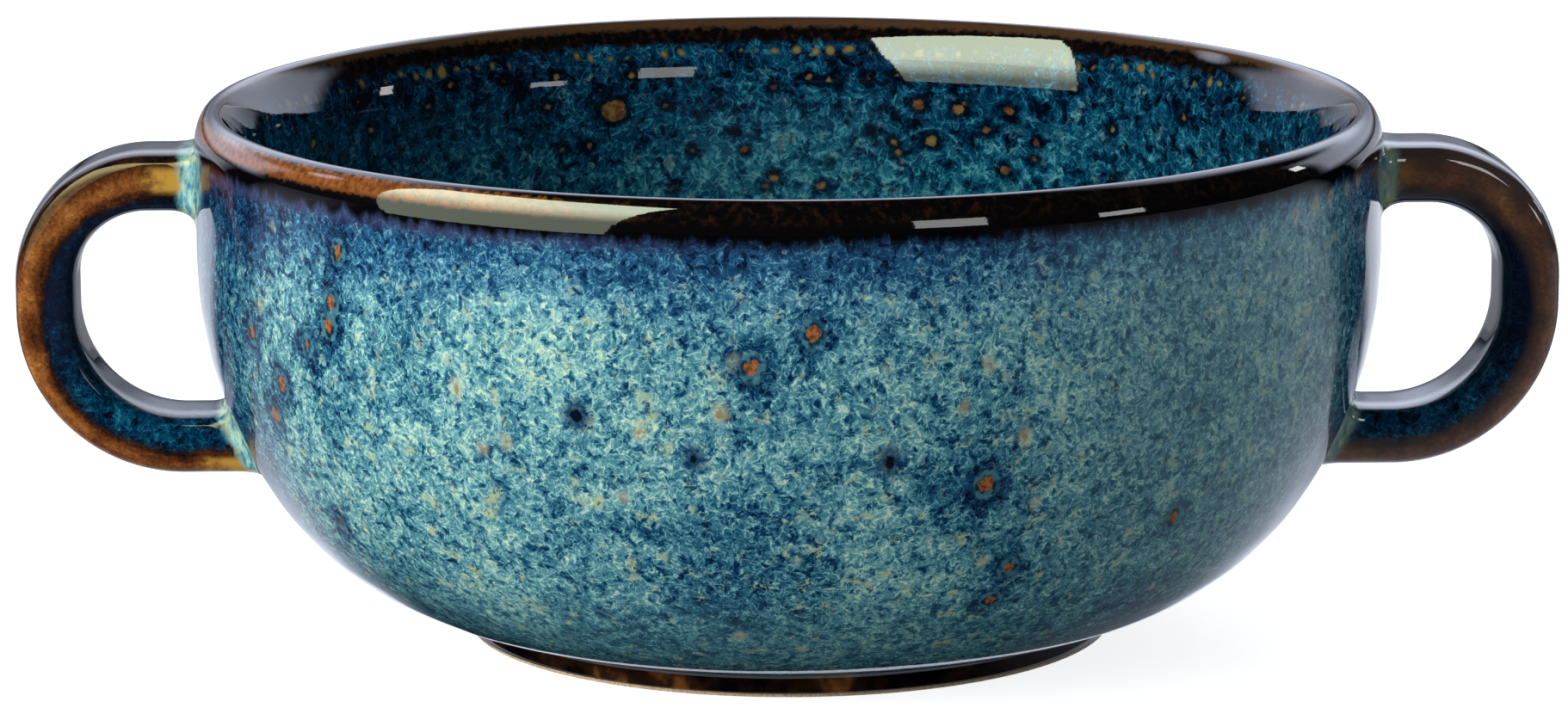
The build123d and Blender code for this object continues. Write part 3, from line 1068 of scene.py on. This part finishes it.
def rim_glaze(name):
    """Glaze over the lip, black in the middle and blue at its lower edges."""
    glaze = Shader(name)
    place = position(glaze.tree)
    run = attribute(glaze.tree, "run")
    colour = outside_blue(place, run)
    iron = rim_iron(place, run)
    colour = mix(rim_share_outside(place, run), colour, iron)
    within = rim_share_inside(place, run)
    colour = mix(within, inside_blue(place, run), colour)
    return finish_glaze(glaze, colour, place)


def handle_glaze(name):
    """Rust brown glaze of a handle, nearly black blue towards the finger and pale in the joints."""
    glaze = Shader(name)
    place = position(glaze.tree)
    axes = split(place)
    outer = attribute(glaze.tree, "outer")
    root = attribute(glaze.tree, "root")
    along = calc("MULTIPLY_ADD", axes["X"], 0.1, times(root, 0.3))
    strip = {0: times(outer, STRAP / 2), 1: axes["Y"], 2: along}
    strip = add("ShaderNodeCombineXYZ", strip).outputs[0]
    streak = noise(strip, HANDLE_STREAK, 3.0, 0.6)
    side = calc("ADD", outer, ease(axes["Z"], *HANDLE_TOP, -0.05, 0.6))
    side = centred(streak, 0.3, side)
    right = ease(axes["X"], *ACROSS)
    rust = handle_rust(place, outer, side, streak)
    # Partly painted sheen: the right handle's brown is greyed.
    rust = mix(times(right, 0.4), rust, TAUPE_SHEEN)
    colour = mix(ease(side, -0.2, 0.2), handle_blue(place, axes), rust)
    colour = mix(handle_gold(place, axes, root, side), colour, GOLD)
    colour = pooled(colour, place, axes, root)
    gloss = ease(right, 0.0, 1.0, *GLOSS_HANDLES)
    tint = mix(right, WARM_MIRROR, WHITE)
    return finish_glaze(glaze, colour, place, gloss, tint)


def bare_clay(name):
    """Unglazed fired stoneware, matt and sandy."""
    shader = Shader(name)
    grain = noise(position(shader.tree), SAND, 4.0, 0.7)
    colour = ramp(grain, CLAY_GRAIN)
    shader.set(base_color=colour, normal=bump(grain, SAND_DEPTH), roughness=CLAY_ROUGHNESS)
    return shader.material


# Assembly

# Coats of the bowl in their order along its section, with their material slots
COAT_SLOTS = {
    "foot": "iron_glaze",
    "outside": "blue_glaze",
    "rim": "iron_glaze",
    "inside": "deep_blue_glaze",
}


def dress(piece, node, material):
    """Sets a piece on the bowl in place of a CAD node."""
    piece.data.materials.append(material)
    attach(piece, "root")
    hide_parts(node)


def build_bowl(materials):
    """Coats of the bowl itself."""
    grid = bowl_grid()
    starts = list(grid[-1].values())
    ends = starts[1:] + [len(grid[0]) - 1]
    for (name, slot), start, end in zip(COAT_SLOTS.items(), starts, ends):
        dress(coat(f"{name}_coat", grid, start, end), f"{name}_glaze", materials[name])
    dress(underside_coat("underside_coat"), "underside_glaze", materials["inside"])


def build_handles(materials):
    """Coats of the two handles and their joints."""
    for side, sign in (("right", 1.0), ("left", -1.0)):
        for name, piece in handle_pieces(side, sign).items():
            joint = name.endswith("joint")
            dress(piece, f"{side}_{name}", materials["pool" if joint else "handle"])


def paint_clay(material):
    """Bare clay on the pieces that keep their CAD shape."""
    for node in ("bowl_body", "left_handle", "right_handle"):
        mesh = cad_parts[node].data
        mesh.materials.clear()
        mesh.materials.append(material)


# Stage

# Camera, from the outline of the bowl in the photograph, in millimetres and degrees
IMAGE_WIDTH = 1822
CAMERA_DISTANCE = 700.0
CAMERA_HEIGHT = 174.95
CAMERA_TURN = 1.5  # towards the left handle
CAMERA_PITCH = 11.56
CAMERA_ROLL = -0.12
CAMERA_NEAR = 50.0  # where its view starts
FOCAL_PIXELS = 6965.9
AXIS_PIXEL = 917.0  # column of the bowl's axis in the photograph
SENSOR = 36.0

# Floor and surroundings
FLOOR_SIZE = 6.0  # in metres
FLOOR_COLOUR = (205, 205, 205)
FLOOR_GLOW = 0.84
AMBIENT = 0.26  # strength of the surroundings as a light
MIRROR_TINT = (222, 230, 252)  # of the white surroundings where they mirror in the glaze
BRIGHT_SPOT = (-0.82, 0.32, 0.47)  # direction of a bright spot that the lip mirrors

# Dark card on the floor, in millimetres
CARD_COLOUR = (8, 8, 8)
CARD_LIFT = 0.3  # height over the floor
CARD_REACH = 4300.0
CARD_FADE = 70.0  # width of its inner edge
CARD_FRONT = (70, 100)  # bearings between which it changes from the front to the back
CARD_INNER = (40, 60)  # inner radius in front and behind
# How far it hides the floor: degrees from the front towards the right handle, share
CARD_COVER = [
    (-180, 0.7), (-162, 0.7), (-148, 0.1), (-138, 0.1), (-130, 1.0), (-118, 1.0),
    (-110, 0.7), (-98, 0.7), (-86, 1.0), (30, 1.0), (95, 0.6), (108, 0.55),
    (116, 1.0), (128, 1.0), (136, 0.1), (148, 0.1), (162, 0.7), (180, 0.7),
]

# Lamps that light the bowl: name, place, target, width, height in millimetres, power in watts, colour
LAMPS = [
    ("key", (-510, -380, 210), (0, 0, 30), 360, 300, 4.4, WHITE),
    ("fill", (520, -300, 200), (0, 0, 30), 360, 300, 0.4, (205, 225, 255)),
    ("back", (150, 520, 260), (0, 0, 30), 400, 300, 1.4, WHITE),
]
# Lamps that only mirror in the glaze, in the same terms
MIRRORED_LAMPS = [
    ("softbox", (-176, -135, 145), (0, 0, 70), 200, 240, 1.75, (240, 255, 226)),
    ("front window", (238, -464, 182), (-14, 64, 56), 120, 110, 0.2, WHITE),
    ("right window", (287, -184, 97), (-29, 58, 56), 56, 30, 0.03, WHITE),
    ("side window", (339, 89, 141), (-49, 43, 58), 24, 32, 0.02, WHITE),
]
SOFTBOX_FADE = (0.3, 0.7, 0.25, 1.25)  # two shares of its height, and how bright it is at them
MIRROR_DEPTH = 2.5  # a lamp in a mirror has a ray depth of 2, in the mirror of a mirror 3


def metres(place):
    """Place in metres from one in millimetres."""
    return Vector([value * MM for value in place])


def make_camera():
    """Camera at the photograph's place."""
    data = bpy.data.cameras.new("camera")
    data.sensor_width = SENSOR
    data.sensor_fit = "HORIZONTAL"
    data.lens = SENSOR * FOCAL_PIXELS / IMAGE_WIDTH
    data.shift_x = (IMAGE_WIDTH / 2 - AXIS_PIXEL) / IMAGE_WIDTH
    data.clip_start = CAMERA_NEAR * MM
    camera = bpy.data.objects.new("camera", data)
    bpy.context.scene.collection.objects.link(camera)
    turn = math.radians(CAMERA_TURN)
    place = (-CAMERA_DISTANCE * math.sin(turn), -CAMERA_DISTANCE * math.cos(turn), CAMERA_HEIGHT)
    matrix = Matrix.Translation(metres(place))
    matrix @= Matrix.Rotation(-turn, 4, "Z")
    matrix @= Matrix.Rotation(math.radians(90 - CAMERA_PITCH), 4, "X")
    matrix @= Matrix.Rotation(math.radians(CAMERA_ROLL), 4, "Z")
    camera.matrix_world = matrix
    bpy.context.scene.camera = camera


def area_light(name, place, target, width, height, power, colour):
    """Soft box at a place in millimetres, turned to a target, not seen by the camera itself."""
    data = bpy.data.lights.new(name, "AREA")
    data.shape = "RECTANGLE"
    data.size, data.size_y = width * MM, height * MM
    data.energy = power
    data.color = linear(colour)[:3]
    lamp = bpy.data.objects.new(name, data)
    bpy.context.scene.collection.objects.link(lamp)
    heading = metres(place) - metres(target)
    turned = heading.to_track_quat("Z", "Y").to_matrix().to_4x4()
    lamp.matrix_world = Matrix.Translation(metres(place)) @ turned
    lamp.visible_camera = False
    return lamp


def make_card():
    """Dark card round the bowl that only mirrors in the glaze, in three rings of points.

    Its gaps put pale veils on the wall and at its edges.
    """
    bearings = np.linspace(-180, 180, 361)
    angles = np.radians(bearings)
    cover = np.interp(bearings, *zip(*CARD_COVER))
    front = np.interp(np.abs(bearings), CARD_FRONT, (1, 0))
    inner = np.interp(np.abs(bearings), CARD_FRONT, CARD_INNER)
    radii = np.stack([inner, inner + CARD_FADE, np.full(bearings.shape, CARD_REACH)])
    lift = np.full(radii.shape, CARD_LIFT)
    points = np.stack([radii * np.sin(angles), -radii * np.cos(angles), lift], axis=2)
    count = len(bearings)
    faces = [(i, i + 1, i + count + 1, i + count) for i in range(2 * count) if (i + 1) % count]
    mesh = bpy.data.meshes.new("dark card")
    mesh.from_pydata((points.reshape(-1, 3) * MM).tolist(), [], faces)
    layer = mesh.attributes.new("cover", "FLOAT", "POINT")
    layer.data.foreach_set("value", np.concatenate([front * cover, cover, cover]).astype(np.float32))
    card = bpy.data.objects.new("dark card", mesh)
    bpy.context.scene.collection.objects.link(card)
    shader = Shader("dark card")
    shader.set(base_color=linear(CARD_COLOUR), roughness=1.0, specular_ior_level=0.0)
    shader.set(alpha=attribute(shader.tree, "cover"))
    mesh.materials.append(shader.material)
    card.visible_camera = False
    card.visible_diffuse = False
    card.visible_shadow = False


def make_floor():
    """Pale floor that the camera sees white outside the bowl's shadow."""
    bpy.ops.mesh.primitive_grid_add(x_subdivisions=8, y_subdivisions=8, size=FLOOR_SIZE)
    floor = bpy.context.object
    floor.name = "floor"
    shader = Shader("pale floor")
    path = source(shader.tree, "ShaderNodeLightPath")
    seen = calc("MAXIMUM", path["Is Camera Ray"], path["Is Glossy Ray"])
    shader.set(base_color=linear(FLOOR_COLOUR), roughness=1.0, specular_ior_level=0.0)
    shader.set(emission_color=mix(path["Is Glossy Ray"], WHITE, MIRROR_TINT))
    shader.set(emission_strength=times(seen, FLOOR_GLOW))
    floor.data.materials.append(shader.material)


def mirrored_world(tree):
    """Strength of the surroundings where they mirror: dark, but for what is behind and a bright spot."""
    direction = source(tree, "ShaderNodeTexCoord")["Generated"]
    axes = split(direction)
    across = calc("ABSOLUTE", axes["X"])
    low = times(ease(axes["Z"], -0.02, 0.08), ease(axes["Z"], 0.4, 0.28))
    low = times(low, ease(across, 0.88, 0.82))
    low = times(low, ease(across, 0.1, 0.8, 0.4, 2.0))
    high = times(ease(axes["Z"], 0.12, 0.46, 0.0, 3.4), ease(axes["Z"], 0.9, 0.7))
    high = times(high, ease(across, 0.75, 0.45))
    behind = times(calc("ADD", low, high), ease(axes["Y"], 0.1, 0.3))
    near = vector_math("DOT_PRODUCT", {0: direction, 1: BRIGHT_SPOT}, "Value")
    return calc("ADD", ease(near, 0.993, 0.999, 0.02, 5.0), behind)


def make_world():
    """White surroundings that light the bowl faintly, and mirror dark except behind it."""
    world = bpy.data.worlds.new("studio")
    bpy.context.scene.world = world
    world.use_nodes = True
    tree = world.node_tree
    path = source(tree, "ShaderNodeLightPath")
    strength = {0: path["Is Glossy Ray"], 2: AMBIENT, 3: mirrored_world(tree)}
    strength = add("ShaderNodeMix", strength).outputs[0]
    background = tree.nodes["Background"].inputs
    feed(background["Color"], mix(path["Is Glossy Ray"], WHITE, MIRROR_TINT))
    feed(background["Strength"], calc("MAXIMUM", strength, path["Is Camera Ray"]))


def shade_softbox(light):
    """Lets the softbox show dimmer towards its lower edge, and not in the mirror of a mirror."""
    light.use_nodes = True
    tree = light.node_tree
    depth = source(tree, "ShaderNodeLightPath")["Ray Depth"]
    spread = source(tree, "ShaderNodeNewGeometry")["Parametric"]
    bright = ease(split(spread)["Y"], *SOFTBOX_FADE)
    shown = times(calc("LESS_THAN", depth, MIRROR_DEPTH), bright)
    feed(tree.nodes["Emission"].inputs["Strength"], shown)


def make_stage():
    """Pale floor, white surroundings, a dark card round the bowl and the lights."""
    make_floor()
    make_world()
    make_card()
    for lamp in LAMPS:
        area_light(*lamp).visible_glossy = False
    for lamp in MIRRORED_LAMPS:
        area_light(*lamp).visible_diffuse = False
    shade_softbox(bpy.data.lights["softbox"])
    bpy.context.scene.view_settings.view_transform = "Standard"


make_camera()
glazes = {
    "outside": outside_glaze("blue glaze"),
    "rim": rim_glaze("iron glaze"),
    "foot": outside_glaze("foot glaze"),
    "inside": inside_glaze("deep blue glaze"),
    "handle": handle_glaze("handle glaze"),
    "pool": handle_glaze("pooled glaze"),
}
build_bowl(glazes)
build_handles(glazes)
paint_clay(bare_clay("stoneware clay"))
make_stage()
